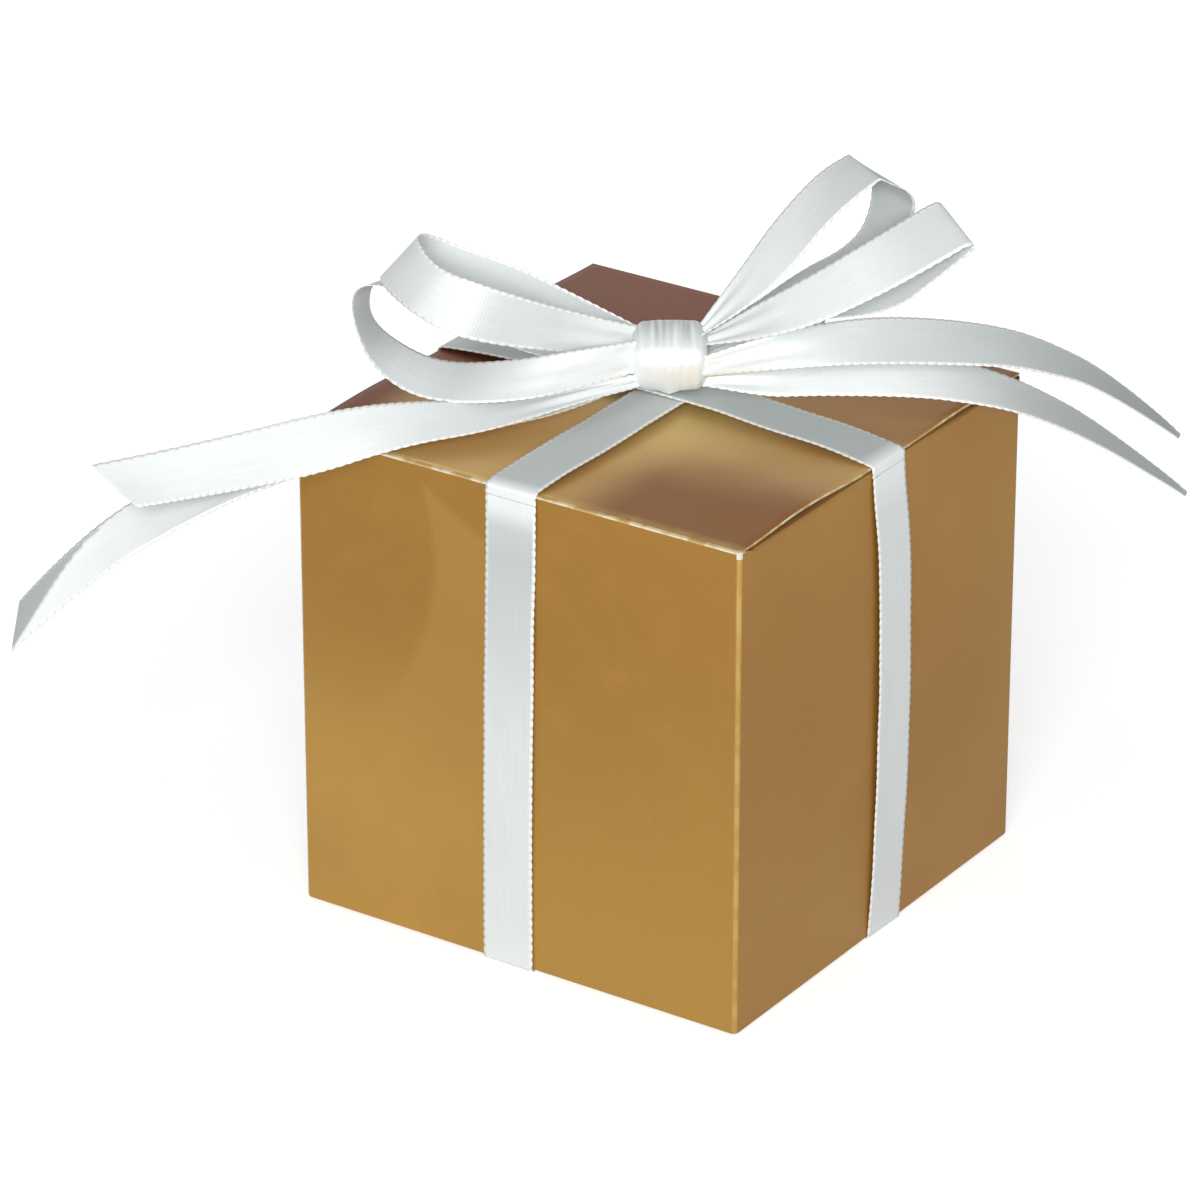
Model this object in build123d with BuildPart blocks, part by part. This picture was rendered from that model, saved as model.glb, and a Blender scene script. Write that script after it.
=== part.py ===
"""Favor box: a folded card carton with a tuck-in lid, tied both ways with satin ribbon and a double bow.

Millimetres, +Z up. The origin is under the middle of the box, on the surface that it stands on.
The front panel, where the lid tucks in, faces -Y, and the lid's crease is at the back, +Y.
"""

import math
import os

from build123d import *

# Card carton
box_width = 50.8
box_depth = 50.8
box_height = 50.8
card = 0.4
crease_gap = 0.1

# Lid and its flaps
lid_side_inset = 0.2
tuck_length = 10.0
tuck_side_inset = 1.5
tuck_corner = 4.0
tuck_lean = 8.0
tuck_clearance = 0.2
dust_reach = 20.0
dust_front_margin = 2.0
dust_front_taper = 3.0
dust_back_margin = 2.0
dust_back_taper = 17.0

# Side seam and glued bottom
glue_tab_width = 10.0
glue_tab_margin = 3.0
glue_tab_taper = 4.0
bottom_hook = 6.0
bottom_hook_slope = 3.0
bottom_side_reach = 16.0
bottom_side_margin = 1.0
bottom_side_taper = 9.0

# Ribbon round the box
ribbon_width = 5.7
ribbon_thick = 0.3
ribbon_gap = 0.05
ribbon_turn_down = 1.0
arm_rise = 0.5
arm_ramp_end = 9.0
arm_ramp_margin = 0.6
back_run_drop = 0.2
cross_shift = 1.2

# Bow
bow_turn = 34.0
knot_radius = 3.5
knot_end_radius = 3.1
knot_length = 6.0
knot_shift = 0.7
knot_seat_gap = 0.1
drawn_ribbon_width = 5.7
steps_per_station = 3

# Heights and places that follow from the sizes above
carton_floor = ribbon_thick
lid_top = carton_floor + box_height
half_width = box_width / 2
half_depth = box_depth / 2
inner_half_width = half_width - card
inner_half_depth = half_depth - card
fold_radius = card / 2
hinge_y = half_depth - fold_radius
hinge_z = lid_top - fold_radius
back_top = hinge_z - fold_radius - crease_gap
dust_z = lid_top - card - crease_gap - fold_radius
side_top = dust_z - fold_radius - crease_gap
tuck_y = -inner_half_depth + tuck_clearance + fold_radius
lid_front = tuck_y + fold_radius + crease_gap
lid_width = box_width - 2 * lid_side_inset
bottom_inside = carton_floor + 2 * card

# The ribbon's runs end just under the turned-down ends of the arms that lie on the lid
wall_run_top = lid_top - ribbon_turn_down - ribbon_gap
back_run_top = back_top - back_run_drop
arm_under = lid_top + ribbon_gap
arm_ramp_start = ribbon_width / 2 + arm_ramp_margin
cross_rise = arm_rise + ribbon_thick + ribbon_gap

# The bow's own frame: x along the bow, y away from its front, z up, from the middle of the knot
knot_height = arm_under + cross_rise + ribbon_thick + knot_seat_gap + knot_radius
bow_x = Vector(math.cos(math.radians(bow_turn)), math.sin(math.radians(bow_turn)), 0)
bow_y = Vector(-bow_x.Y, bow_x.X, 0)
knot_centre = bow_x * knot_shift + Vector(0, 0, knot_height)

# Each station gives the two edges of the ribbon, measured from the knot's end face on that side.
# The edges are smooth curves with these stations as their control points.
loop_left_upper = [
    ((0, 1.6, 2.4), (0, 1.6, -1)),
    ((-5.7, 3.6, 4.6), (-6.2, 4.2, 0)),
    ((-11.7, 5.4, 7), (-12.9, 6.8, 2)),
    ((-16.7, 6.2, 8.6), (-18.7, 7.8, 3.8)),
    ((-20.7, 6.2, 10.4), (-24.1, 7.8, 5.6)),
    ((-21.6, 2.5, 11.2), (-25.5, 4, 6.4)),
    ((-19.5, -1.2, 9.6), (-22.7, -1.4, 5.6)),
    ((-15.2, -3, 8.6), (-17.9, -5, 3.9)),
    ((-7.7, -1.8, 5.6), (-8.7, -2.6, 1.4)),
    ((0, 0.2, 2.8), (0, 0, -0.4)),
]
loop_left_lower = [
    ((0, 1.4, -1.8), (0, -0.2, -1.6)),
    ((-6.7, 4.4, -1.8), (-6.7, -0.8, -0.6)),
    ((-13.2, 6, -0.4), (-13.2, 0.4, 1)),
    ((-18.7, 7.4, 2), (-18.7, 2, 3.6)),
    ((-23.7, 9.2, 3.8), (-23.9, 4.2, 5.4)),
    ((-26.1, 9, 4.2), (-27.6, 3.6, 5.8)),
    ((-26.3, 4.5, 2.4), (-27.6, -1.8, 4.2)),
    ((-23.7, 1.6, 0.8), (-25.7, -4.8, 1)),
    ((-19.2, -0.8, -0.6), (-20.7, -6.8, -1.2)),
    ((-11.7, -3.2, 0.8), (-12.7, -7.4, -1.4)),
    ((-4.7, -3.4, 2.2), (-5.7, -5.6, -0.6)),
    ((0, -1.5, 2.2), (0, -1.9, -0.2)),
]
loop_right_upper = [
    ((0, 0.9, 2.7), (0, -1.4, 2.4)),
    ((3.3, 2.6, 7), (3.8, -1.8, 5.1)),
    ((7.3, 5.5, 12.2), (8.3, -0.2, 8.6)),
    ((11.3, 7.8, 15.8), (12.3, 2.2, 13.2)),
    ((14.3, 8.9, 17.3), (17.2, 3.8, 16.7)),
    ((14.4, 9, 17.2), (17.4, 3.8, 16.6)),
    ((16.4, 9.6, 15.4), (20.8, 4.6, 14.8)),
    ((16.9, 9.4, 12.4), (20.4, 4.8, 11.8)),
    ((15.2, 8.6, 8.2), (16.8, 4.2, 7.4)),
    ((8.4, 5.6, 5.9), (8.6, 1.8, 5.5)),
    ((0, 2.2, 0.8), (0, 1, 0.6)),
]
loop_right_lower = [
    ((0, 0.4, 1.8), (0, -1.3, 1.5)),
    ((4.3, -0.4, 4.8), (5.3, -4.4, 3.4)),
    ((9.3, 0.2, 7.6), (10.8, -5.2, 5.3)),
    ((15.3, 1, 11), (16.8, -4.8, 8.2)),
    ((20.8, 2, 14.2), (23, -3.8, 11.5)),
    ((22.7, 2.1, 15.2), (25.8, -3.5, 13.2)),
    ((23.2, 2.2, 14.6), (26.2, -3.4, 12.4)),
    ((23, 2.4, 11.4), (23.4, -3.2, 10)),
    ((17.8, 2.6, 6.4), (18, -2.6, 5.2)),
    ((8.3, 4.6, 3), (8.8, 1.4, 3.2)),
    ((0, 1.4, -0.2), (0, -1.2, -0.2)),
]
tail_left_upper = [
    ((0, -2.2, -0.9), (0, -1.6, -2.5)),
    ((-6.7, -4.6, -1.6), (-5.7, -6.6, -2.4)),
    ((-13.7, -5.6, -2.6), (-13.7, -10.8, -3.1)),
    ((-21.7, -8.5, -1), (-22.7, -13.8, -3.5)),
    ((-29.7, -12.2, -0.5), (-31.2, -15.8, -5.8)),
    ((-41.7, -16.2, -2.2), (-42.2, -20.4, -6)),
    ((-51.7, -18.6, -3.3), (-47.3, -22, -6.2)),
]
tail_left_lower = [
    ((0, -0.6, -2.2), (0, 0.8, -2.8)),
    ((-6.7, -0.8, -3.3), (-5.7, -5.2, -3.5)),
    ((-15.7, -4.2, -3.7), (-14.7, -9.6, -3.7)),
    ((-23.7, -7, -3.8), (-24.2, -12.4, -3.9)),
    ((-31.7, -10.6, -3.2), (-33.7, -15.2, -6.5)),
    ((-38.7, -13.6, -4.4), (-39.7, -17.4, -8.1)),
    ((-47.2, -15.2, -7.6), (-45.7, -19.2, -10.8)),
    ((-54.7, -17, -13), (-51.7, -20, -14.4)),
    ((-59.3, -18, -17.8), (-59.9, -19.5, -22.4)),
]
tail_right_upper = [
    ((0, -2.5, 0.8), (0, -2.6, -1.2)),
    ((5.3, -2.8, 3), (5.3, -5, 0.4)),
    ((11.3, -1.3, 4), (11.3, -5.2, 1.1)),
    ((18.3, 1.6, 3.4), (18.3, -4.2, 0.9)),
    ((25.3, 2.8, 2.5), (26.3, -2.8, 0.2)),
    ((32.8, 3.4, 0.6), (33.3, -2, -0.9)),
    ((40.3, 3.4, -3.4), (38.8, -0.6, -3.2)),
    ((46.9, 2.2, -9.3), (46.7, 2, -9.7)),
]
tail_right_lower = [
    ((0, -0.8, -1.5), (0, -0.9, -2.8)),
    ((5.3, 1, -0.4), (5.3, -2.8, -3.2)),
    ((11.3, 2, 0.5), (11.3, -2.7, -3.1)),
    ((18.3, 2.4, 0.2), (18.3, -2.6, -3.2)),
    ((25.3, 2.4, -1.5), (25.3, -3.2, -3.4)),
    ((32.3, 2.4, -4.2), (32.3, -3, -5.2)),
    ((39.8, 2.6, -8.7), (39.3, -1.2, -9.1)),
    ((47.8, 2.2, -15.5), (47.6, 2, -15.9)),
]

os.makedirs("parts", exist_ok=True)


def keep(part, name):
    """Labels a finished piece and writes it to its own file."""
    part.label = name
    export_step(part, f"parts/{name}.step")


# Four wall panels, mitred where they meet at the upright folds
outer_corners = [
    (-half_width, -half_depth),
    (half_width, -half_depth),
    (half_width, half_depth),
    (-half_width, half_depth),
]
inner_corners = [
    (-inner_half_width, -inner_half_depth),
    (inner_half_width, -inner_half_depth),
    (inner_half_width, inner_half_depth),
    (-inner_half_width, inner_half_depth),
]
wall_tops = {
    "front_panel": lid_top,
    "right_panel": side_top,
    "back_panel": back_top,
    "left_panel": side_top,
}
for index, (name, top) in enumerate(wall_tops.items()):
    following = (index + 1) % 4
    with BuildPart() as panel:
        with BuildSketch(Plane.XY.offset(carton_floor)):
            with BuildLine():
                Polyline(
                    outer_corners[index],
                    outer_corners[following],
                    inner_corners[following],
                    inner_corners[index],
                    close=True,
                )
            make_face()
        extrude(amount=top - carton_floor)
    keep(panel.part, name)

# Glue tab: the end of the blank, stuck inside the left panel along the back corner
glue_plane = Plane(origin=(-inner_half_width, 0, 0), x_dir=(0, 1, 0), z_dir=(1, 0, 0))
glue_low = bottom_inside + glue_tab_margin
glue_high = side_top - glue_tab_margin
with BuildPart() as glue_tab:
    with BuildSketch(glue_plane):
        with BuildLine():
            Polyline(
                (inner_half_depth, glue_low),
                (inner_half_depth, glue_high),
                (inner_half_depth - glue_tab_width, glue_high - glue_tab_taper),
                (inner_half_depth - glue_tab_width, glue_low + glue_tab_taper),
                close=True,
            )
        make_face()
    extrude(amount=card)
keep(glue_tab.part, "glue_tab")

# Bottom: the front and back flaps hook into each other along a stepped seam
seam_gap = crease_gap / 2
for name, turn in {"bottom_front_flap": 0, "bottom_back_flap": 180}.items():
    with BuildPart() as bottom_flap:
        with BuildSketch(Plane.XY.offset(carton_floor).rotated((0, 0, turn))):
            with BuildLine():
                Polyline(
                    (-inner_half_width, -inner_half_depth),
                    (inner_half_width, -inner_half_depth),
                    (inner_half_width, -bottom_hook - seam_gap),
                    (bottom_hook_slope, -bottom_hook - seam_gap),
                    (-bottom_hook_slope, bottom_hook - seam_gap),
                    (-inner_half_width, bottom_hook - seam_gap),
                    close=True,
                )
            make_face()
        extrude(amount=card)
    keep(bottom_flap.part, name)

# Bottom: the side flaps are glued on top of them, inside the box
for name, side in {"bottom_left_flap": -1, "bottom_right_flap": 1}.items():
    root_half = inner_half_depth - bottom_side_margin
    with BuildPart() as bottom_side:
        with BuildSketch(Plane.XY.offset(carton_floor + card)):
            with BuildLine():
                Polyline(
                    (side * inner_half_width, -root_half),
                    (side * inner_half_width, root_half),
                    (side * (inner_half_width - bottom_side_reach), root_half - bottom_side_taper),
                    (side * (inner_half_width - bottom_side_reach), -root_half + bottom_side_taper),
                    close=True,
                )
            make_face()
        extrude(amount=card)
    keep(bottom_side.part, name)

# Lid: a flat panel whose back edge is rolled round the crease
with BuildPart() as lid_panel:
    with BuildSketch(Plane.XY.offset(lid_top - card)):
        with Locations((0, (lid_front + hinge_y) / 2)):
            Rectangle(lid_width, hinge_y - lid_front)
    extrude(amount=card)
    with Locations((0, hinge_y, hinge_z)):
        Cylinder(fold_radius, lid_width, rotation=(0, 90, 0))
keep(lid_panel.part, "lid_panel")

# Tuck flap: hangs from the lid's front crease, behind the front panel
lean = math.radians(tuck_lean)
tuck_width = lid_width - 2 * (tuck_side_inset + card)
tuck_plane = Plane(
    origin=(0, tuck_y, hinge_z),
    x_dir=(1, 0, 0),
    z_dir=(0, math.cos(lean), math.sin(lean)),
)
with BuildPart() as tuck_flap:
    with BuildSketch(tuck_plane) as tuck_outline:
        with Locations((0, tuck_length / 2)):
            Rectangle(tuck_width, tuck_length)
        fillet(tuck_outline.vertices().sort_by(Axis.Z)[:2], tuck_corner)
    extrude(amount=fold_radius, both=True)
    with Locations((0, tuck_y, hinge_z)):
        Cylinder(fold_radius, tuck_width, rotation=(0, 90, 0))
keep(tuck_flap.part, "tuck_flap")

# Dust flaps: fold in from the side panels and lie under the lid
dust_front = -inner_half_depth + dust_front_margin
dust_back = hinge_y - dust_back_margin
for name, side in {"left_dust_flap": -1, "right_dust_flap": 1}.items():
    fold_x = side * (half_width - fold_radius)
    with BuildPart() as dust_flap:
        with BuildSketch(Plane.XY.offset(dust_z - fold_radius)):
            with BuildLine():
                Polyline(
                    (fold_x, dust_front),
                    (fold_x, dust_back),
                    (fold_x - side * dust_reach, dust_back - dust_back_taper),
                    (fold_x - side * dust_reach, dust_front + dust_front_taper),
                    close=True,
                )
            make_face()
        extrude(amount=card)
        with Locations((fold_x, (dust_front + dust_back) / 2, dust_z)):
            Cylinder(fold_radius, dust_back - dust_front, rotation=(90, 0, 0))
    keep(dust_flap.part, name)

# Ribbon on the four walls
wall_runs = {
    "ribbon_front": (0, -half_depth - ribbon_thick / 2, ribbon_width, ribbon_thick, wall_run_top),
    "ribbon_back": (0, half_depth + ribbon_thick / 2, ribbon_width, ribbon_thick, back_run_top),
    "ribbon_left": (-half_width - ribbon_thick / 2, cross_shift, ribbon_thick, ribbon_width, wall_run_top),
    "ribbon_right": (half_width + ribbon_thick / 2, cross_shift, ribbon_thick, ribbon_width, wall_run_top),
}
for name, (x, y, size_x, size_y, top) in wall_runs.items():
    with BuildPart() as wall_run:
        with BuildSketch(Plane.XY.offset(ribbon_thick)):
            with Locations((x, y)):
                Rectangle(size_x, size_y)
        extrude(amount=top - ribbon_thick)
    keep(wall_run.part, name)

# Ribbon under the box: one run goes through, and the other meets it from both sides, so the box stands flat
with BuildPart() as ribbon_under_long:
    with BuildSketch():
        Rectangle(ribbon_width, box_depth + 2 * ribbon_thick)
    extrude(amount=ribbon_thick)
keep(ribbon_under_long.part, "ribbon_under_long")

under_end = half_width + ribbon_thick
under_length = under_end - ribbon_width / 2
with BuildPart() as ribbon_under_cross:
    with BuildSketch():
        with Locations((under_end - under_length / 2, cross_shift), (under_length / 2 - under_end, cross_shift)):
            Rectangle(under_length, ribbon_width)
    extrude(amount=ribbon_thick)
keep(ribbon_under_cross.part, "ribbon_under_cross")


def turned_end(reach, side):
    """Corners of an arm's end that turns down over the edge of the box, from the lid outwards and back."""
    inside = side * (reach + ribbon_gap)
    outside = side * (reach + ribbon_gap + ribbon_thick)
    tip = lid_top - ribbon_turn_down
    return [(inside, arm_under), (inside, tip), (outside, tip), (outside, arm_under + ribbon_thick)]


def humped_side(rise, above):
    """Corners of the low hump in the middle of an arm, from its negative end to its positive end."""
    low = arm_under + above
    high = low + rise
    return [
        (-arm_ramp_end, low),
        (-arm_ramp_start, high),
        (arm_ramp_start, high),
        (arm_ramp_end, low),
    ]


# Ribbon on the lid: the front-to-back arm lies on the lid, and the side-to-side arm crosses over it
arm_long_corners = [
    *turned_end(half_depth, -1)[::-1],
    *humped_side(arm_rise, 0),
    (hinge_y, arm_under),
    (hinge_y, arm_under + ribbon_thick),
    *humped_side(arm_rise, ribbon_thick)[::-1],
]
arm_cross_corners = [
    *turned_end(half_width, -1)[::-1],
    *humped_side(cross_rise, 0),
    *turned_end(half_width, 1),
    *humped_side(cross_rise, ribbon_thick)[::-1],
]
arms = {
    "ribbon_lid_long": (Plane.YZ, arm_long_corners),
    "ribbon_lid_cross": (Plane.XZ.offset(-cross_shift), arm_cross_corners),
}
for name, (plane, corners) in arms.items():
    with BuildPart() as arm:
        with BuildSketch(plane):
            with BuildLine():
                Polyline(*corners, close=True)
            make_face()
        extrude(amount=ribbon_width / 2, both=True)
    keep(arm.part, name)

# Knot: a short barrel of wrapped ribbon
half_knot = knot_length / 2
with BuildPart() as bow_knot:
    with BuildSketch(Plane(origin=knot_centre, x_dir=bow_x, z_dir=-bow_y)):
        with BuildLine():
            Polyline((half_knot, knot_end_radius), (half_knot, 0), (-half_knot, 0), (-half_knot, knot_end_radius))
            ThreePointArc((-half_knot, knot_end_radius), (0, knot_radius), (half_knot, knot_end_radius))
        make_face()
    revolve(axis=Axis(knot_centre, bow_x))
keep(bow_knot.part, "bow_knot")


def smooth(points):
    """Points along a clamped quadratic spline that has the given control points."""
    joins = [points[0]]
    for first, second in zip(points[1:-2], points[2:-1]):
        joins.append((first + second) * 0.5)
    joins.append(points[-1])
    line = []
    for start, control, end in zip(joins[:-1], points[1:-1], joins[1:]):
        for step in range(steps_per_station):
            t = step / steps_per_station
            line.append(start * (1 - t) ** 2 + control * (2 * t * (1 - t)) + end * t**2)
    return line + [points[-1]]


def strip_middles(stations, face):
    """Middle of the ribbon and half its width, as vectors, along the whole strip."""
    upper = smooth([face.from_local_coords(Vector(*pair[0])) for pair in stations])
    lower = smooth([face.from_local_coords(Vector(*pair[1])) for pair in stations])
    spread = ribbon_width / drawn_ribbon_width
    return [((a + b) * 0.5, (a - b) * (0.5 * spread)) for a, b in zip(upper, lower)]


def run_direction(middles, index, both_ends_held):
    """Direction of the strip at one section. Sections on the knot lie flat on its end face."""
    last = len(middles) - 1
    if index == 0 or (index == last and both_ends_held):
        return bow_x
    before = middles[max(index - 1, 0)][0]
    after = middles[min(index + 1, last)][0]
    return after - before


def bend_radius(middles, index):
    """Radius of the circle through three neighbouring points of the strip's middle line."""
    a, b, c = [middles[index + offset][0] for offset in (-1, 0, 1)]
    twice_area = (b - a).cross(c - a).length
    return (b - a).length * (c - b).length * (c - a).length / (2 * twice_area)


left_face = Plane(origin=knot_centre - bow_x * half_knot, x_dir=bow_x, z_dir=(0, 0, 1))
right_face = Plane(origin=knot_centre + bow_x * half_knot, x_dir=bow_x, z_dir=(0, 0, 1))
bow_strips = {
    "loop_left_upper": (loop_left_upper, left_face),
    "loop_left_lower": (loop_left_lower, left_face),
    "loop_right_upper": (loop_right_upper, right_face),
    "loop_right_lower": (loop_right_lower, right_face),
    "tail_left_upper": (tail_left_upper, left_face),
    "tail_left_lower": (tail_left_lower, left_face),
    "tail_right_upper": (tail_right_upper, right_face),
    "tail_right_lower": (tail_right_lower, right_face),
}
for name, (stations, face) in bow_strips.items():
    middles = strip_middles(stations, face)
    is_loop = name.startswith("loop")
    with BuildPart() as strip:
        for index, (middle, half) in enumerate(middles):
            along = run_direction(middles, index, is_loop)
            flat_normal = half.cross(along)
            with BuildSketch(Plane(origin=middle, x_dir=half, z_dir=flat_normal.cross(half))):
                Rectangle(2 * half.length, ribbon_thick)
        loft(ruled=True)
    keep(strip.part, name)
    length = sum((b[0] - a[0]).length for a, b in zip(middles, middles[1:]))
    tightest = min(bend_radius(middles, index) for index in range(1, len(middles) - 1))
    print(f"{name}: {length:.1f} mm long, tightest bend {tightest:.1f} mm")
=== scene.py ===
"""Favor box of satin gold card, tied both ways with white satin ribbon and a double bow."""

import math

import bpy
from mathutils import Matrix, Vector, noise


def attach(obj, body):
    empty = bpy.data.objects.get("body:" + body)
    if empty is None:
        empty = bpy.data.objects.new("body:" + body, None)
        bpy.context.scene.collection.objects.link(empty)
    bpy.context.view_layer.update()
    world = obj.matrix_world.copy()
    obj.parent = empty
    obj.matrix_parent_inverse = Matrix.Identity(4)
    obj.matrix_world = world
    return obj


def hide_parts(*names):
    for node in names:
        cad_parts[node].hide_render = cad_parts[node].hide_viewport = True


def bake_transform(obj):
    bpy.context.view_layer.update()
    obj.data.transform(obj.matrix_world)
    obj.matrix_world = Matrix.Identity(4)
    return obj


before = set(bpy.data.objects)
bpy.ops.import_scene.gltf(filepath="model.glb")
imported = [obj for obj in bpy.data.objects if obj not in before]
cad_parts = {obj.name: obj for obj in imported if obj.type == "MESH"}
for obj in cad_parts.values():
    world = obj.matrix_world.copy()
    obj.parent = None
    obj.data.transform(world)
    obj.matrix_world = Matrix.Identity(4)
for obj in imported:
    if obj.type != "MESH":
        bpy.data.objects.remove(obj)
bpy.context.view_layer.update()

MM = 0.001

# Sizes of the CAD model, in millimetres
HALF_BOX = 25.4
FLOOR_Z = 0.3
LID_TOP = 51.1
SIDE_TOP = 50.1
BACK_TOP = 50.6
RIBBON_WIDTH = 5.7
HALF_RIBBON = RIBBON_WIDTH / 2
TOOTH_PITCH = 0.9
RIB_PITCH = 0.32
BOW_TURN = math.radians(34.0)
KNOT_HALF = 3.0
KNOT_SHIFT = 0.7
KNOT_LIFT = 4.8

bow_x = Vector((math.cos(BOW_TURN), math.sin(BOW_TURN), 0))
bow_y = Vector((-math.sin(BOW_TURN), math.cos(BOW_TURN), 0))
up = Vector((0, 0, 1))
knot_centre = bow_x * KNOT_SHIFT + up * (LID_TOP + KNOT_LIFT)

# The camera's place round the box, which the bow faces
CAMERA_RISE = math.radians(25.36)
sight = up * math.sin(CAMERA_RISE) - bow_y * math.cos(CAMERA_RISE)

# The bow's strips: the ribbon's two edges at each station, from the knot's end face on that side
LOOPS = {
    "loop_left_upper": [
        ((0, 1.6, 2.4), (0, 1.6, -1)),
        ((-5.7, 3.6, 4.6), (-6.2, 4.2, 0)),
        ((-11.7, 5.4, 7), (-12.9, 6.8, 2)),
        ((-16.7, 6.2, 8.6), (-18.7, 7.8, 3.8)),
        ((-20.7, 6.2, 10.4), (-24.1, 7.8, 5.6)),
        ((-21.6, 2.5, 11.2), (-25.5, 4, 6.4)),
        ((-19.5, -1.2, 9.6), (-22.7, -1.4, 5.6)),
        ((-15.2, -3, 8.6), (-17.9, -5, 3.9)),
        ((-7.7, -1.8, 5.6), (-8.7, -2.6, 1.4)),
        ((0, 0.2, 2.8), (0, 0, -0.4)),
    ],
    "loop_left_lower": [
        ((0, 1.4, -1.8), (0, -0.2, -1.6)),
        ((-6.7, 4.4, -1.8), (-6.7, -0.8, -0.6)),
        ((-13.2, 6, -0.4), (-13.2, 0.4, 1)),
        ((-18.7, 7.4, 2), (-18.7, 2, 3.6)),
        ((-23.7, 9.2, 3.8), (-23.9, 4.2, 5.4)),
        ((-26.1, 9, 4.2), (-27.6, 3.6, 5.8)),
        ((-26.3, 4.5, 2.4), (-27.6, -1.8, 4.2)),
        ((-23.7, 1.6, 0.8), (-25.7, -5, 0.7)),
        ((-19.2, -0.8, -0.6), (-20.7, -7.3, -1.8)),
        ((-11.7, -3.2, 0.8), (-12.7, -7.7, -1.7)),
        ((-4.7, -3.4, 2.2), (-5.7, -5.6, -1.2)),
        ((0, -1.5, 2.2), (0, -1.9, -0.9)),
    ],
    "loop_right_upper": [
        ((0, 0.9, 2.7), (0, -1.4, 2.4)),
        ((3.3, 2.6, 7), (3.8, -1.8, 5.1)),
        ((7.3, 5.5, 12.2), (8.3, -0.2, 8.6)),
        ((11.3, 7.8, 15.8), (12.3, 2.2, 13.2)),
        ((14.3, 8.9, 17.3), (17.2, 3.8, 16.7)),
        ((14.4, 9, 17.2), (17.4, 3.8, 16.6)),
        ((16.4, 9.6, 15.4), (20.8, 4.6, 14.8)),
        ((16.9, 9.4, 12.4), (20.4, 4.8, 11.8)),
        ((15.2, 8.6, 8.2), (16.8, 4.2, 7.4)),
        ((8.4, 5.6, 5.9), (8.6, 1.8, 5.5)),
        ((0, 2.2, 0.8), (0, 1, 0.6)),
    ],
    "loop_right_lower": [
        ((0, 0.4, 1.8), (0, -1.3, 1.5)),
        ((4.3, -0.4, 4.8), (5.3, -4.4, 3.4)),
        ((9.3, 0.2, 7.6), (10.8, -5.2, 5.3)),
        ((15.3, 1, 11), (16.8, -4.8, 8.2)),
        ((20.8, 2, 14.2), (23, -3.8, 11.5)),
        ((22.7, 2.1, 15.2), (25.8, -3.5, 13.2)),
        ((23.2, 2.2, 14.6), (26.2, -3.4, 12.4)),
        ((23, 2.4, 11.4), (23.4, -3.2, 10)),
        ((17.8, 2.6, 6.4), (18, -2.6, 5.2)),
        ((8.3, 4.6, 3), (8.8, 1.4, 3.2)),
        ((0, 1.4, -0.2), (0, -1.2, -0.2)),
    ],
}
TAILS = {
    "tail_left_upper": [
        ((0, -2.2, -0.9), (0, -1.6, -2.5)),
        ((-6.7, -4.6, -1.6), (-5.7, -6.6, -2.4)),
        ((-13.7, -5.6, -2.6), (-13.7, -10.8, -3.1)),
        ((-21.7, -8.5, -1), (-22.7, -13.8, -3.5)),
        ((-29.7, -12.2, -0.5), (-31.2, -15.8, -5.8)),
        ((-41.7, -16.2, -2.2), (-42.2, -20.4, -6)),
        ((-51.7, -18.6, -3.3), (-47.3, -22, -6.2)),
    ],
    "tail_left_lower": [
        ((0, -0.6, -2.2), (0, 0.8, -2.8)),
        ((-6.7, -0.8, -3.3), (-5.7, -5.2, -3.5)),
        ((-15.7, -4.2, -3.7), (-14.7, -9.6, -3.7)),
        ((-23.7, -7, -3.8), (-24.2, -12.4, -3.9)),
        ((-31.7, -10.6, -3.2), (-33.7, -15.2, -6.5)),
        ((-38.7, -13.6, -4.4), (-39.7, -17.4, -8.1)),
        ((-47.2, -15.2, -7.6), (-45.7, -19.2, -10.8)),
        ((-54.7, -17, -13), (-51.7, -20, -14.4)),
        ((-59.3, -18, -17.8), (-59.9, -19.5, -22.4)),
    ],
    "tail_right_upper": [
        ((0, -2.5, 0.8), (0, -2.6, -1.2)),
        ((5.3, -2.8, 3), (5.3, -5, 0.4)),
        ((11.3, -1.3, 4), (11.3, -5.2, 1.1)),
        ((18.3, 1.6, 3.4), (18.3, -4.2, 0.9)),
        ((25.3, 2.8, 2.5), (26.3, -2.8, 0.2)),
        ((32.8, 3.4, 0.6), (33.3, -2, -0.9)),
        ((40.3, 3.4, -3.4), (38.8, -0.6, -3.2)),
        ((46.9, 2.2, -9.3), (46.7, 2, -9.7)),
    ],
    "tail_right_lower": [
        ((0, -0.8, -1.5), (0, -0.9, -2.8)),
        ((5.3, 1, -0.4), (5.3, -2.8, -3.2)),
        ((11.3, 2, 0.5), (11.3, -2.7, -3.1)),
        ((18.3, 2.4, 0.2), (18.3, -2.6, -3.2)),
        ((25.3, 2.4, -1.5), (25.3, -3.2, -3.4)),
        ((32.3, 2.4, -4.2), (32.3, -3, -5.2)),
        ((39.8, 2.6, -8.7), (39.3, -1.2, -9.1)),
        ((47.8, 2.2, -15.5), (47.6, 2, -15.9)),
    ],
}


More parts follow.
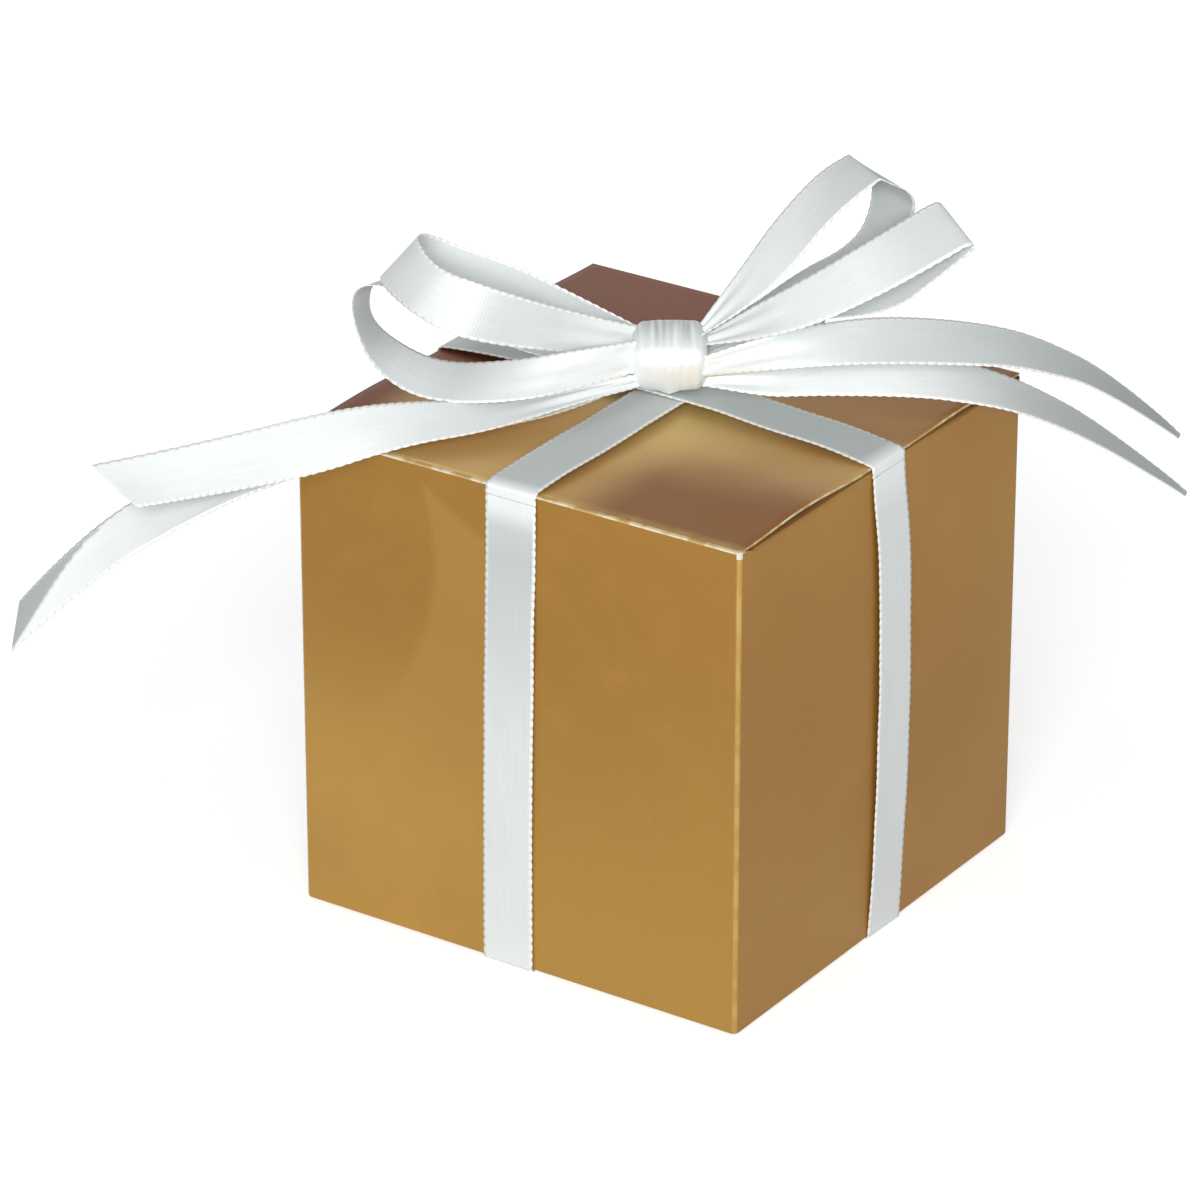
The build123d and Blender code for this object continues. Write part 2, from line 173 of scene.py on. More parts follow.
class Graph:
    """A material's nodes, with short calls for the sums that the materials below are made of."""

    def __init__(self, name):
        self.material = bpy.data.materials.new(name)
        self.material.use_nodes = True
        self.tree = self.material.node_tree
        self.tree.nodes.clear()

    def node(self, kind, **inputs):
        made = self.tree.nodes.new(kind)
        for key, value in inputs.items():
            self.feed(made.inputs[key.replace("_", " ")], value)
        return made

    def feed(self, socket, value):
        if isinstance(value, bpy.types.NodeSocket):
            self.tree.links.new(value, socket)
        else:
            socket.default_value = value

    def math(self, operation, first, second=0.0):
        made = self.tree.nodes.new("ShaderNodeMath")
        made.operation = operation
        self.feed(made.inputs[0], first)
        self.feed(made.inputs[1], second)
        return made.outputs[0]

    def step(self, value, low, high):
        """0 below low, 1 above high, and smooth between them."""
        made = self.tree.nodes.new("ShaderNodeMapRange")
        made.interpolation_type = "SMOOTHSTEP"
        self.feed(made.inputs["Value"], value)
        self.feed(made.inputs["From Min"], low)
        self.feed(made.inputs["From Max"], high)
        return made.outputs["Result"]

    def mix(self, share, first, second):
        made = self.tree.nodes.new("ShaderNodeMix")
        made.data_type = "RGBA"
        self.feed(made.inputs[0], share)
        self.feed(made.inputs[6], first)
        self.feed(made.inputs[7], second)
        return made.outputs[2]

    def noise(self, vector, scale, detail=2.0):
        made = self.node("ShaderNodeTexNoise", Vector=vector, Scale=scale, Detail=detail)
        return made.outputs[0]

    def join(self, x, y, z=0.0):
        return self.node("ShaderNodeCombineXYZ", X=x, Y=y, Z=z).outputs[0]

    def attribute(self, name, output="Fac"):
        made = self.tree.nodes.new("ShaderNodeAttribute")
        made.attribute_name = name
        return made.outputs[output]

    def place(self):
        return self.node("ShaderNodeTexCoord").outputs["Object"]

    def bump(self, height, strength, distance):
        made = self.node("ShaderNodeBump", Height=height, Strength=strength, Distance=distance)
        return made.outputs[0]

    def finish(self, **inputs):
        shader = self.node("ShaderNodeBsdfPrincipled", **inputs)
        output = self.tree.nodes.new("ShaderNodeOutputMaterial")
        self.tree.links.new(shader.outputs[0], output.inputs["Surface"])
        return self.material


def colour(red, green, blue):
    """A colour given as it looks on a screen, 0 to 255, as the linear values that shaders take."""
    values = []
    for level in (red, green, blue):
        share = level / 255
        values.append(share / 12.92 if share <= 0.04045 else ((share + 0.055) / 1.055) ** 2.4)
    return (*values, 1.0)


# Where the selvedge starts and ends, as shares of the ribbon's width from its edge
SELVEDGE = (0.045, 0.07)


def satin_ribbon():
    """White satin: lengthwise floats that throw a band of light, fine ribs, a toothed selvedge."""
    g = Graph("satin_ribbon")
    across = g.attribute("across")
    along = g.attribute("along")
    from_edge = g.math("MINIMUM", across, g.math("SUBTRACT", 1.0, across))
    selvedge = g.math("SUBTRACT", 1.0, g.step(from_edge, *SELVEDGE))
    teeth = g.math("SINE", g.math("MULTIPLY", along, math.tau / TOOTH_PITCH))
    ribs = g.math("SINE", g.math("MULTIPLY", along, math.tau / RIB_PITCH))

    def streaks(per_width, per_mm, detail):
        """Noise that is drawn out along the ribbon."""
        place = g.join(g.math("MULTIPLY", across, per_width), g.math("MULTIPLY", along, per_mm))
        return g.noise(place, 1.0, detail)

    floats = streaks(26.0, 0.16, 3.0)
    cloud = streaks(1.2, 0.1, 2.0)
    body = g.mix(g.step(floats, 0.3, 0.75), colour(241, 246, 246), colour(247, 250, 249))
    body = g.mix(g.math("MULTIPLY", g.step(cloud, 0.45, 0.75), 0.25), body, colour(226, 233, 234))
    edge = g.mix(g.step(teeth, -0.95, -0.5), colour(224, 226, 222), colour(250, 249, 243))
    # Painted shade: the shade attribute greys the ribbon where it lies in shadow or faces away from
    # the light
    face = g.mix(g.attribute("shade"), body, colour(147, 156, 153))
    face = g.mix(g.math("MULTIPLY", selvedge, 0.8), face, edge)
    height = g.math("ADD", g.math("MULTIPLY", floats, 0.22), g.math("MULTIPLY", ribs, 0.05))
    height = g.math("ADD", height, g.math("MULTIPLY", g.math("MULTIPLY", teeth, selvedge), 0.12))
    flow = g.tree.nodes.new("ShaderNodeTangent")
    flow.direction_type = "UV_MAP"
    flow.uv_map = "flow"
    return g.finish(
        Base_Color=face,
        Metallic=0.2,
        Roughness=0.45,
        Anisotropic=0.8,
        Anisotropic_Rotation=0.25,
        Tangent=flow.outputs[0],
        Specular_IOR_Level=0.4,
        Normal=g.bump(height, 0.4, 0.0001),
    )


def gold_card(name, tone, bends=False):
    """Satin gold card: tone gives its colour from places in millimetres of the row frame.

    bends: the card is a sheet that bends, so its places at rest are stored on its points.
    """
    g = Graph(name)
    place = g.attribute("rest", "Vector") if bends else g.place()
    apart = g.node("ShaderNodeSeparateXYZ", Vector=place)
    x, y, z = (g.math("MULTIPLY", apart.outputs[axis], 1.0 / MM) for axis in range(3))
    base = tone(g, x, y, z, place)
    grain = g.noise(place, 9000.0, 2.0)
    base = g.mix(g.math("MULTIPLY", g.step(grain, 0.3, 0.7), 0.10), base, colour(206, 166, 96))
    fibre = g.noise(place, 2600.0, 3.0)
    swell = g.noise(place, 60.0, 2.0)
    uneven = g.step(g.noise(place, 500.0, 3.0), 0.35, 0.65)
    # Lighter gold along the folds: wear, and a painted highlight on the rounded folds
    rubbed = g.math("ADD", 0.55, g.math("MULTIPLY", uneven, 0.45))
    wear_and_highlight = g.math("MULTIPLY", g.attribute("wear_and_highlight"), rubbed)
    base = g.mix(g.math("MULTIPLY", wear_and_highlight, 0.8), base, colour(207, 171, 106))
    height = g.math("ADD", g.math("MULTIPLY", fibre, 0.25), g.math("MULTIPLY", swell, 3.0))
    return g.finish(
        Base_Color=base,
        Metallic=0.35,
        Roughness=0.42,
        Specular_IOR_Level=0.15,
        Normal=g.bump(height, 0.35, 0.0002),
    )


def wall_tone(g, x, y, z, place):
    """Olive gold, browner at the top, with soft patches.

    Left of the front ribbon, a pale glow and a wedge stand in for what the card reflects.
    """
    patches = g.noise(place, 45.0, 3.0)
    fine = g.noise(place, 160.0, 3.0)
    low = g.step(g.math("ADD", z, g.math("MULTIPLY", patches, 18.0)), 50.0, 14.0)
    face = g.mix(low, colour(158, 116, 51), colour(176, 137, 66))
    at_front = g.step(y, -22.0, -25.0)
    left = g.math("MULTIPLY", g.step(x, 2.0, -8.0), at_front)
    glow = g.math("MULTIPLY", left, g.step(z, 34.0, 14.0))
    glow = g.math("MULTIPLY", glow, g.step(patches, 0.25, 0.6))
    face = g.mix(g.math("MULTIPLY", glow, 0.75), face, colour(193, 149, 75))
    off_middle = g.math("SUBTRACT", z, 41.0)
    bowed = g.math("MULTIPLY", g.math("MULTIPLY", off_middle, off_middle), 0.022)
    wedge = g.math("MULTIPLY", g.step(g.math("ADD", x, bowed), -10.0, -8.6), g.step(x, 2.0, 0.0))
    slanted = g.math("ADD", z, g.math("MULTIPLY", x, 0.59))
    wedge = g.math("MULTIPLY", wedge, g.step(slanted, 43.6, 42.2))
    wedge = g.math("MULTIPLY", g.math("MULTIPLY", wedge, at_front), g.step(z, 14.0, 30.0))
    face = g.mix(g.math("MULTIPLY", wedge, 0.45), face, colour(178, 140, 70))
    face = g.mix(g.math("MULTIPLY", g.step(fine, 0.45, 0.75), 0.3), face, colour(176, 130, 64))
    right = g.step(x, 25.0, 25.4)
    side = g.mix(g.step(patches, 0.3, 0.7), colour(160, 112, 42), colour(166, 121, 49))
    # Painted shade: a darker band along the right wall's back edge, where it turns away
    side = g.mix(g.math("MULTIPLY", g.step(y, 24.6, 25.3), 0.5), side, colour(112, 78, 36))
    return g.mix(right, face, side)


def lid_tone(g, x, y, z, place):
    """Tan, with painted light near the knot and left of the front arm, and a painted shadow at the
    right back.

    Its dark brown front corner and reddish far side are painted dark reflections.

    The tuck flap, below the front fold, is plain gold.
    """
    drift = g.math("MULTIPLY", g.math("SUBTRACT", g.noise(place, 70.0, 2.0), 0.5), 6.0)
    away = g.math(
        "ADD",
        g.math("MULTIPLY", x, -math.sin(BOW_TURN)),
        g.math("MULTIPLY", y, math.cos(BOW_TURN)),
    )
    # Painted dark reflection on the far side and at the left end
    dark_reflection_far = g.step(g.math("ADD", away, drift), 0.0, 12.0)
    dark_reflection_left_end = g.step(g.math("ADD", x, drift), -17.0, -23.0)
    from_knot = g.math("SQRT", g.math("ADD", g.math("MULTIPLY", x, x), g.math("MULTIPLY", y, y)))
    # Painted light round the knot
    pale = g.step(g.math("ADD", from_knot, drift), 20.0, 5.0)
    mottled = g.step(g.noise(place, 90.0, 2.0), 0.35, 0.7)
    tan = g.mix(mottled, colour(200, 156, 92), colour(208, 168, 106))
    tan = g.mix(g.math("MULTIPLY", pale, 0.8), tan, colour(226, 196, 130))
    front = g.step(g.math("ADD", y, drift), -6.0, -17.0)
    # Painted dark reflection on the front right corner
    corner = g.math("MULTIPLY", front, g.step(x, 3.0, 11.0))
    near = g.mix(g.math("MULTIPLY", corner, 0.95), tan, colour(134, 84, 42))
    # Painted light left of the front arm
    light_left_front = g.math("MULTIPLY", g.step(x, -2.0, -5.0), g.step(y, -3.0, -8.0))
    near = g.mix(g.math("MULTIPLY", light_left_front, 0.6), near, colour(228, 188, 122))
    # Painted shadow at the right back, beside the arm and tails
    shadow_right_back = g.math("MULTIPLY", g.step(x, 3.0, 12.0), g.step(y, 2.5, 5.0))
    near = g.mix(g.math("MULTIPLY", shadow_right_back, 0.7), near, colour(146, 100, 52))
    lid = g.mix(g.math("MAXIMUM", dark_reflection_far, dark_reflection_left_end), near, colour(125, 72, 54))
    below_fold = g.step(z, 50.75, 50.45)
    return g.mix(below_fold, lid, colour(172, 131, 70))


def flap_tone(board_side):
    """Plain gold on a flat flap, with bare board on its inner face: 1 for up, -1 for down."""

    def tone(g, x, y, z, place):
        mottled = g.step(g.noise(place, 50.0, 2.0), 0.35, 0.7)
        gold = g.mix(mottled, colour(168, 124, 66), colour(180, 142, 78))
        normal = g.node("ShaderNodeTexCoord").outputs["Normal"]
        facing = g.node("ShaderNodeSeparateXYZ", Vector=normal)
        inwards = g.step(g.math("MULTIPLY", facing.outputs[2], board_side), 0.4, 0.6)
        return g.mix(inwards, gold, colour(226, 219, 203))

    return tone


def bare_board(name, patches, tones, roughness):
    """Board without its gold. patches: their scale and detail, and the step between the tones."""
    g = Graph(name)
    place = g.place()
    fibre = g.noise(place, 1500.0, 4.0)
    scale, detail, low, high = patches
    base = g.mix(g.step(g.noise(place, scale, detail), low, high), *tones)
    return g.finish(Base_Color=base, Roughness=roughness, Normal=g.bump(fibre, 0.3, 0.0001))


ribbon_look = satin_ribbon()
wall_look = gold_card("gold_wall", wall_tone)
lid_look = gold_card("gold_lid", lid_tone, bends=True)
bottom_look = gold_card("gold_bottom_flap", flap_tone(1.0))
dust_look = gold_card("gold_dust_flap", flap_tone(-1.0))
edge_look = bare_board(
    "raw_board", (500.0, 2.0, 0.42, 0.60), (colour(206, 172, 112), colour(240, 226, 190)), 0.8
)
inside_look = bare_board(
    "inside_board", (220.0, 4.0, 0.35, 0.7), (colour(222, 214, 196), colour(234, 228, 214)), 0.85
)


def piece(name, points, faces, looks, face_looks=None):
    """A smooth mesh object from points in millimetres."""
    mesh = bpy.data.meshes.new(name)
    mesh.from_pydata([Vector(p) * MM for p in points], [], faces)
    for look in looks:
        mesh.materials.append(look)
    if face_looks:
        mesh.polygons.foreach_set("material_index", face_looks)
    mesh.polygons.foreach_set("use_smooth", [True] * len(faces))
    mesh.validate()
    made = bpy.data.objects.new(name, mesh)
    bpy.context.scene.collection.objects.link(made)
    return made


def store(obj, name, values):
    """Keeps one number for each point of a mesh, which its material reads."""
    layer = obj.data.attributes.new(name, "FLOAT", "POINT")
    layer.data.foreach_set("value", values)


def grid_faces(rows, columns, flipped=False):
    """Faces between rows of points, with one point more in a row than it has columns."""
    stride = columns + 1
    faces = []
    for row in range(rows - 1):
        for column in range(columns):
            a = row * stride + column
            b = a + 1
            if flipped:
                a, b = b, a
            faces.append((a, b, b + stride, a + stride))
    return faces


def thicken(obj, thickness, offset):
    """Gives a sheet its thickness in millimetres. offset: 0 for both sides, -1 for inwards."""
    solid = obj.modifiers.new("thickness", "SOLIDIFY")
    solid.thickness = thickness * MM
    solid.offset = offset
    return solid


SPLINE_CUTS = 24


def smooth_line(points):
    """Points along a smooth spline with the given control points, in the same units."""
    curve = bpy.data.curves.new("route", "CURVE")
    curve.dimensions = "3D"
    curve.resolution_u = SPLINE_CUTS
    spline = curve.splines.new("NURBS")
    spline.points.add(len(points) - 1)
    for knot, point in zip(spline.points, points):
        knot.co = (*point, 1.0)
    spline.order_u = 3
    spline.use_endpoint_u = True
    route = bpy.data.objects.new("route", curve)
    mesh = bpy.data.meshes.new_from_object(route)
    line = [v.co.copy() for v in mesh.vertices]
    bpy.data.objects.remove(route)
    bpy.data.curves.remove(curve)
    bpy.data.meshes.remove(mesh)
    return line


# How the ribbon is cut into points, and its teeth, pleats and slow waves
STEP_ALONG = TOOTH_PITCH / 6
ACROSS = 16
TOOTH_HEIGHT = 0.04
SHEET_THICKNESS = 0.1
PLEATS = 2.0
PLEAT_DEPTH = 0.32
MOST_GATHER = 0.55
RIPPLE_SCALE = 0.14
RIPPLE_DEPTH = 0.12
FLOW_SCALE = 0.02
PLAIN = [(0.0, 0.0), (1.0, 0.0)]

# A tail's corner that turns away: how deep and how late, and how much painted shade its turned side
# takes
TURN_DEPTH = 2.5
TURN_POWER = 3.2
TURN_PAINTED_SHADE = 0.6
TURN_PAINTED_SHADE_RATE = 8.0


def weave(obj, across, along, shade):
    """Tells the ribbon's material where each point lies on it, which way its floats run, and its
    painted shade.
    """
    store(obj, "across", across)
    store(obj, "along", along)
    store(obj, "shade", shade)
    flow = obj.data.uv_layers.new(name="flow")
    for corner in obj.data.loops:
        at = corner.vertex_index
        flow.data[corner.index].uv = (along[at] * FLOW_SCALE, across[at])


def even_steps(first, second, step):
    """Both edges of a strip, cut again at even steps of its middle line."""
    middle = [(a + b) / 2 for a, b in zip(first, second)]
    travelled = [0.0]
    for a, b in zip(middle, middle[1:]):
        travelled.append(travelled[-1] + (b - a).length)
    count = max(2, round(travelled[-1] / step))
    rows = []
    span = 0
    for index in range(count + 1):
        target = travelled[-1] * index / count
        while span < len(middle) - 2 and travelled[span + 1] < target:
            span += 1
        length = travelled[span + 1] - travelled[span]
        share = (target - travelled[span]) / length if length > 0 else 0.0
        share = min(max(share, 0.0), 1.0)
        edges = [edge[span].lerp(edge[span + 1], share) for edge in (first, second)]
        rows.append((*edges, target))
    return rows


def between(levels, share):
    """The level at one share of a strip's length, from a list of (share, level)."""
    for (low, first), (high, second) in zip(levels, levels[1:]):
        if share <= high:
            return first + (second - first) * max(0.0, share - low) / (high - low)
    return levels[-1][1]


def pleat_share(gaps, reaches):
    """How far pleats show at one place, from its gap to each end and their reach from that end."""
    share = 0.0
    for gap, reach in zip(gaps, reaches):
        if reach > 0:
            share = max(share, 1.0 - gap / reach)
    return min(1.0, 2.0 * share)


def ribbon_strip(
    name, first, second, body, nodes, gathered=(0.0, 0.0), phase=0.0, levels=PLAIN, turned=None
):
    """A length of ribbon between two edges.

    gathered: how far the pleats reach from its start and from its end. phase: where they begin.
    levels: how much painted shade it takes along its length. turned: where a corner of its end
    starts to turn away.
    """
    rows = even_steps(first, second, STEP_ALONG)
    total = rows[-1][2]
    points, across, along, shade = [], [], [], []
    for index, (a, b, travelled) in enumerate(rows):
        before = rows[max(index - 1, 0)]
        after = rows[min(index + 1, len(rows) - 1)]
        direction = (after[0] + after[1] - before[0] - before[1]).normalized()
        width = b - a
        normal = direction.cross(width).normalized()
        gather = max(0.0, 1.0 - width.length / RIBBON_WIDTH)
        gather *= pleat_share((travelled, total - travelled), gathered)
        bent = 0.0
        if turned is not None and travelled > turned:
            bent = ((travelled - turned) / (total - turned)) ** TURN_POWER
        # Painted shade along the strip, from its levels
        painted_shade_level = between(levels, travelled / total)
        tooth = TOOTH_HEIGHT * math.sin(math.tau * travelled / TOOTH_PITCH)
        for column in range(ACROSS + 1):
            share = column / ACROSS
            point = a + width * share
            wave = math.cos(math.tau * PLEATS * share + phase)
            fold = wave * min(gather, MOST_GATHER) * PLEAT_DEPTH
            ripple = noise.noise(point * RIPPLE_SCALE + Vector((0, 0, phase))) * RIPPLE_DEPTH
            point = point + normal * (fold + ripple)
            folded = max(0.0, 1.0 - share / bent) if bent > 0 else 0.0
            point = point - sight * (TURN_DEPTH * bent * folded)
            if column == 0:
                point = point - width.normalized() * tooth
            if column == ACROSS:
                point = point + width.normalized() * tooth
            points.append(point)
            across.append(share)
            along.append(travelled)
            # A turned corner takes extra painted shade on its turned side
            shade.append(painted_shade_level + min(TURN_PAINTED_SHADE, folded * TURN_PAINTED_SHADE_RATE))
    made = piece(name, points, grid_faces(len(rows), ACROSS), [ribbon_look])
    weave(made, across, along, shade)
    thicken(made, SHEET_THICKNESS, 0.0)
    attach(made, body)
    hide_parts(*nodes)
    return made, rows


def from_face(point, side):
    """A point given from the knot's end face, in the row frame, in millimetres."""
    face = knot_centre + bow_x * (side * KNOT_HALF)
    return face + bow_x * point[0] + bow_y * point[1] + up * point[2]


# Loops and tails of the bow: where their pleats begin, and their painted shade from the start on,
# with painted highlight bands where it drops to nothing.
# The right tails end in a point, and their cords stop short of it.
PHASES = {
    "loop_left_upper": 0.4,
    "loop_left_lower": 1.9,
    "loop_right_upper": 3.1,
    "loop_right_lower": 4.4,
    "tail_left_upper": 0.9,
    "tail_left_lower": 2.6,
    "tail_right_upper": 5.2,
    "tail_right_lower": 3.7,
}
LEVELS = {
    "loop_left_upper": [
        (0.0, 0.0), (0.12, 0.1), (0.45, 0.12), (0.53, 0.22), (0.59, 0.22), (0.62, 0.0),
        (0.65, 0.0), (0.7, 0.36), (0.84, 0.32), (0.93, 0.05), (1.0, 0.0),
    ],
    "loop_left_lower": [
        (0.0, 0.1), (0.42, 0.1), (0.5, 0.3), (0.56, 0.25), (0.61, 0.0),
        (0.66, 0.0), (0.71, 0.2), (0.8, 0.15), (0.9, 0.0), (1.0, 0.0),
    ],
    "loop_right_upper": [
        (0.0, 0.0), (0.15, 0.12), (0.27, 0.2), (0.37, 0.4),
        (0.45, 0.45), (0.52, 0.55), (0.8, 0.5), (1.0, 0.2),
    ],
    "loop_right_lower": [
        (0.0, 0.0), (0.3, 0.0), (0.4, 0.28), (0.47, 0.36), (0.55, 0.15), (1.0, 0.05),
    ],
    "tail_left_upper": [(0.0, 0.0), (0.85, 0.0), (1.0, 0.1)],
    "tail_left_lower": [
        (0.0, 0.0), (0.52, 0.05), (0.63, 0.5), (0.75, 0.35), (0.85, 0.0), (1.0, 0.0),
    ],
    "tail_right_upper": [(0.0, 0.0), (0.3, 0.0), (0.5, 0.32), (0.75, 0.6), (1.0, 0.95)],
    "tail_right_lower": [(0.0, 0.0), (0.45, 0.0), (0.7, 0.45), (1.0, 0.9)],
}
PLEAT_REACH = 16.0
TIP_TURN = {"tail_left_lower": 46.0}
for name, stations in {**LOOPS, **TAILS}.items():
    side = -1 if "left" in name else 1
    first = smooth_line([from_face(pair[0], side) for pair in stations])
    second = smooth_line([from_face(pair[1], side) for pair in stations])
    strip, rows = ribbon_strip(
        name + "_ribbon", first, second, "bow", [name],
        gathered=(PLEAT_REACH, PLEAT_REACH if name in LOOPS else 0.0),
        phase=PHASES[name],
        levels=LEVELS[name],
        turned=TIP_TURN.get(name),
    )


# The knot's barrel and shoulders, its pleats as (depth, rate, start, waver), and a small tuck
# low on its front
KNOT_OVERLAP = 0.6
KNOT_RADIUS = 3.42
KNOT_TAPER = 0.25
KNOT_SHOULDER = 0.72
KNOT_ROUNDING = 0.9
KNOT_PLEATS = ((0.03, 8.5, 0.0, 4.0), (0.05, 3.1, 0.8, 3.0))
KNOT_MARGIN = 0.12
KNOT_TUCK_ANGLE = math.radians(245)
KNOT_TUCK_SPREAD = 0.3
KNOT_TUCK_LENGTH = 0.9
KNOT_TUCK_HEIGHT = 0.3


def bow_knot():
    """The knot: ribbon drawn tight round the middle of the bow, in fine pleats."""
    half = KNOT_HALF + KNOT_OVERLAP
    rings, spokes = 71, 72
    points, across, along, shade = [], [], [], []
    for ring in range(rings):
        share = ring / (rings - 1)
        x = (2 * share - 1) * half
        end = abs(2 * share - 1)
        shoulder = max(0.0, (end - KNOT_SHOULDER) / (1 - KNOT_SHOULDER))
        radius = KNOT_RADIUS - KNOT_TAPER * end**2 - KNOT_ROUNDING * shoulder**2
        for spoke in range(spokes):
            angle = math.tau * spoke / spokes
            forwards, upwards = math.cos(angle), math.sin(angle)
            wander = noise.noise(Vector((x * 0.5, forwards * 1.5, upwards * 1.5)))
            uneven = 0.5 + noise.noise(Vector((x * 0.9, forwards, upwards + 7.0)))
            pleat = 0.0
            for depth, rate, start, waver in KNOT_PLEATS:
                pleat += depth * math.sin(x * rate + start + waver * wander)
            off_tuck = (angle - KNOT_TUCK_ANGLE) / KNOT_TUCK_SPREAD
            tuck = math.exp(-(off_tuck**2) - (x / KNOT_TUCK_LENGTH) ** 2)
            r = radius + pleat * uneven + KNOT_TUCK_HEIGHT * tuck
            points.append(knot_centre + bow_x * x + bow_y * (r * forwards) + up * (r * upwards))
            across.append(KNOT_MARGIN + (1 - 2 * KNOT_MARGIN) * share)
            along.append(angle * radius)
            # Painted shade on the knot's top, where it faces up, broken into streaks
            streak = noise.noise(Vector((x * 2.6, 3.0, 0.6 * forwards)))
            shade.append(max(0.0, max(0.0, upwards) ** 2 * (0.4 + 0.5 * streak)))
    faces = []
    for ring in range(rings - 1):
        for spoke in range(spokes):
            following = (spoke + 1) % spokes
            low, high = ring * spokes, (ring + 1) * spokes
            faces.append((low + spoke, high + spoke, high + following, low + following))
    faces.append(tuple(range(spokes)))
    faces.append(tuple(reversed(range((rings - 1) * spokes, rings * spokes))))
    made = piece("bow_knot_wrap", points, faces, [ribbon_look])
    weave(made, across, along, shade)
    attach(made, "bow")
    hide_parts("bow_knot")


bow_knot()


def tape(name, profile, axis, body, nodes, levels=PLAIN):
    """Ribbon round the box: profile lists (reach along the axis, height, how far sideways)."""
    edges = []
    for edge in (-HALF_RIBBON, HALF_RIBBON):
        line = []
        for reach, height, sideways in profile:
            at = edge + sideways
            line.append(Vector((at, reach, height)) if axis == "y" else Vector((reach, at, height)))
        edges.append(smooth_line(line))
    ribbon_strip(name, edges[0], edges[1], body, nodes, levels=levels)


# The runs on the walls meet the arms' turned-down ends at a seam
WALL_SKIN = HALF_BOX + 0.16
ARM_TIP = LID_TOP - 1.0
RUN_TOP = ARM_TIP - 0.02
BACK_RUN_TOP = BACK_TOP - 0.2

# A run's foot turns in under the wall
FOOT_END = HALF_BOX - 2.0
FOOT_BEND = HALF_BOX - 0.3
FOOT_Z = 0.2
FOOT_TOP = 0.8

# Heights where a run's lie is given, the length of its straight top, and its bulge off the middle
RUN_LOW, RUN_MIDDLE, RUN_HIGH = 12.0, 26.0, 40.0
RUN_END = 1.2
BULGE_BESIDE = 0.7


def wall_profile(sign, top, bulge, sways):
    """A run on one wall, from just under the box to its top.

    bulge: how far it stands off the wall. sways: how far it lies sideways, from its foot upwards.
    """
    bottom, low, middle, high, edge = sways
    beside = WALL_SKIN + bulge * BULGE_BESIDE
    stations = [
        (FOOT_END, FOOT_Z, bottom),
        (FOOT_BEND, FOOT_Z, bottom),
        (WALL_SKIN, FOOT_Z, bottom),
        (WALL_SKIN, FOOT_TOP, bottom),
        (beside, RUN_LOW, low),
        (WALL_SKIN + bulge, RUN_MIDDLE, middle),
        (beside, RUN_HIGH, high),
        (WALL_SKIN, top - RUN_END, edge),
        (WALL_SKIN, top, edge),
    ]
    return [(sign * reach, height, sideways) for reach, height, sideways in stations]


FRONT_SWAYS = (-0.85, -0.85, -0.65, -0.4, -0.2)
BACK_SWAYS = (0.0, 0.1, 0.1, 0.1, 0.0)
LEFT_SWAYS = (1.2, 1.3, 1.3, 1.3, 1.2)
RIGHT_SWAYS = (1.2, 1.9, 2.0, 1.75, 0.45)
LEFT_BULGE = 0.1
RIGHT_BULGE = 0.25
# Painted shade along the front and right runs from foot to top, left off at the top fold as a
# painted highlight
FRONT_LEVELS = [(0.0, 0.16), (0.5, 0.22), (0.88, 0.56), (0.94, 0.48), (0.98, 0.05), (1.0, 0.05)]
RIGHT_LEVELS = [(0.0, 0.18), (0.92, 0.18), (0.98, 0.0), (1.0, 0.0)]
RUNS = {
    "ribbon_front": ("y", wall_profile(-1, RUN_TOP, 0.0, FRONT_SWAYS), FRONT_LEVELS),
    "ribbon_back": ("y", wall_profile(1, BACK_RUN_TOP, 0.0, BACK_SWAYS), PLAIN),
    "ribbon_left": ("x", wall_profile(-1, RUN_TOP, LEFT_BULGE, LEFT_SWAYS), PLAIN),
    "ribbon_right": ("x", wall_profile(1, RUN_TOP, RIGHT_BULGE, RIGHT_SWAYS), RIGHT_LEVELS),
}
for name, (axis, profile, levels) in RUNS.items():
    tape(name + "_run", profile, axis, "carton", [name], levels)

# The runs under the box, with the cross run off the middle
UNDER_HALF = HALF_BOX - 1.0
CROSS_SHIFT = 1.2
UNDER_RUNS = {"ribbon_under_long": ("y", 0.18, 0.0), "ribbon_under_cross": ("x", 0.2, CROSS_SHIFT)}
for name, (axis, height, shift) in UNDER_RUNS.items():
    profile = [(reach, height, shift) for reach in (-UNDER_HALF, 0.0, UNDER_HALF)]
    tape(name + "_run", profile, axis, "carton", [name])

# The arms on the lid: their height, and how far from the middle their lie is given
ARM = LID_TOP + 0.22
ARM_EDGE = HALF_BOX - 1.2
ARM_FAR, ARM_HALFWAY, ARM_NEAR = 20.0, 12.0, 4.5


def arm_end(sign, arch, rise, sways):
    """An arm on the lid from the edge to the knot.

    arch: its height off the lid on the way. rise: its height at the knot, which lifts it.
    sways: how far it lies sideways at the edge, halfway and at the knot.
    """
    edge, halfway, knot = sways
    stations = [
        (WALL_SKIN, ARM_TIP, edge),
        (WALL_SKIN, LID_TOP - 0.5, edge),
        (WALL_SKIN - 0.05, ARM - 0.05, edge),
        (ARM_EDGE, ARM + 0.12, edge),
        (ARM_FAR, ARM + arch, (edge + halfway) / 2),
        (ARM_HALFWAY, ARM + (arch + rise) / 2, halfway),
        (ARM_NEAR, ARM + rise, knot),
    ]
    return [(sign * reach, height, sideways) for reach, height, sideways in stations]


